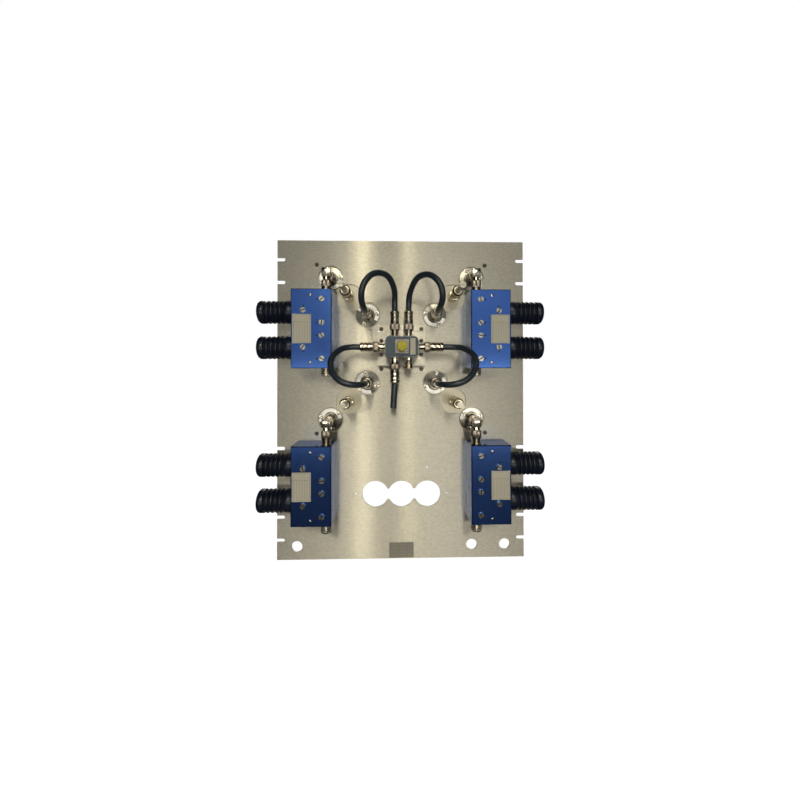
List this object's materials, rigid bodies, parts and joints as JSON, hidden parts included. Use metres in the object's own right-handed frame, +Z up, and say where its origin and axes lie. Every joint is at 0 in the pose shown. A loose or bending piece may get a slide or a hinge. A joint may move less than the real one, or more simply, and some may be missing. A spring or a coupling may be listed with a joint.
{
  "type": "rack-mount rf combiner",
  "caption": "Rack panel with cavity filters behind it and blue isolators, finned loads, a star junction and coaxial jumper cables on its front.",
  "frame": {"origin": "middle of the rack panel's rear face, which lies on the rack's rails", "axes": "+Z up the panel, +X to the right seen from the front, +Y into the rack"},
  "size_m": [0.5284, 0.3367, 0.6216],
  "materials": {
    "black_anodised": "satin",
    "blue_anodised": "gloss",
    "bracket_sheet": "brushed sheet",
    "brass_nickel": "worn nickel over brass",
    "brushed_panel": "brushed across, satin",
    "cable_black": "smooth jacket",
    "clear_cap": "translucent",
    "end_plate": "conversion coated",
    "grey_blue_paint": "satin",
    "label": "printed foil, plain here",
    "nickel": "bright nickel plate",
    "plain_aluminium": "plain",
    "silver_label": "metallised foil, plain here",
    "steel_rod": "ground",
    "steel_screws": "plated",
    "yellow_cap": "moulded"
  },
  "bodies": {
    "combiner": {"bracket_screws": "steel_screws", "cable_stub": "cable_black", "cavity_plugs": "nickel", "cavity_screws": "steel_screws", "dummy_loads": "black_anodised", "elbow_adapters": "nickel", "inner_conductors": "plain_aluminium", "input_jack_caps": "clear_cap", "input_loops": "nickel", "isolator_cover_screws": "steel_screws", "isolator_input_jacks": "nickel", "isolator_labels": "label", "isolator_output_jacks": "nickel", "isolator_tuning_screws": "steel_screws", "junction_block": "grey_blue_paint", "junction_bracket": "bracket_sheet", "junction_cap": "yellow_cap", "junction_jacks": "nickel", "junction_label": "label", "junction_plugs": "nickel", "lock_nuts": "brass_nickel", "loop_clamp_screws": "steel_screws", "lower_left_cavity_can": "plain_aluminium", "lower_left_end_plate": "end_plate", "lower_left_isolator": "blue_anodised", "lower_left_jumper": "cable_black", "lower_right_cavity_can": "plain_aluminium", "lower_right_end_plate": "end_plate", "lower_right_isolator": "blue_anodised", "lower_right_jumper": "cable_black", "output_loops": "nickel", "panel_label": "silver_label", "rack_panel": "brushed_panel", "tuning_bushings": "brass_nickel", "upper_left_cavity_can": "plain_aluminium", "upper_left_end_plate": "end_plate", "upper_left_isolator": "blue_anodised", "upper_left_jumper": "cable_black", "upper_right_cavity_can": "plain_aluminium", "upper_right_end_plate": "end_plate", "upper_right_isolator": "blue_anodised", "upper_right_jumper": "cable_black"},
    "upper_left_rod": {"upper_left_tuning_rod": "steel_rod"},
    "upper_right_rod": {"upper_right_tuning_rod": "steel_rod"},
    "lower_left_rod": {"lower_left_tuning_rod": "steel_rod"},
    "lower_right_rod": {"lower_right_tuning_rod": "steel_rod"}
  },
  "joints": [
    {"name": "upper_left_tuning", "type": "slide", "parent": "combiner", "child": "upper_left_rod", "axis": [0, 1, 0], "range_m": [-0.0085, 0.0335]},
    {"name": "upper_right_tuning", "type": "slide", "parent": "combiner", "child": "upper_right_rod", "axis": [0, 1, 0], "range_m": [-0.0125, 0.0295]},
    {"name": "lower_left_tuning", "type": "slide", "parent": "combiner", "child": "lower_left_rod", "axis": [0, 1, 0], "range_m": [-0.032, 0.01]},
    {"name": "lower_right_tuning", "type": "slide", "parent": "combiner", "child": "lower_right_rod", "axis": [0, 1, 0], "range_m": [-0.036, 0.006]}
  ]
}
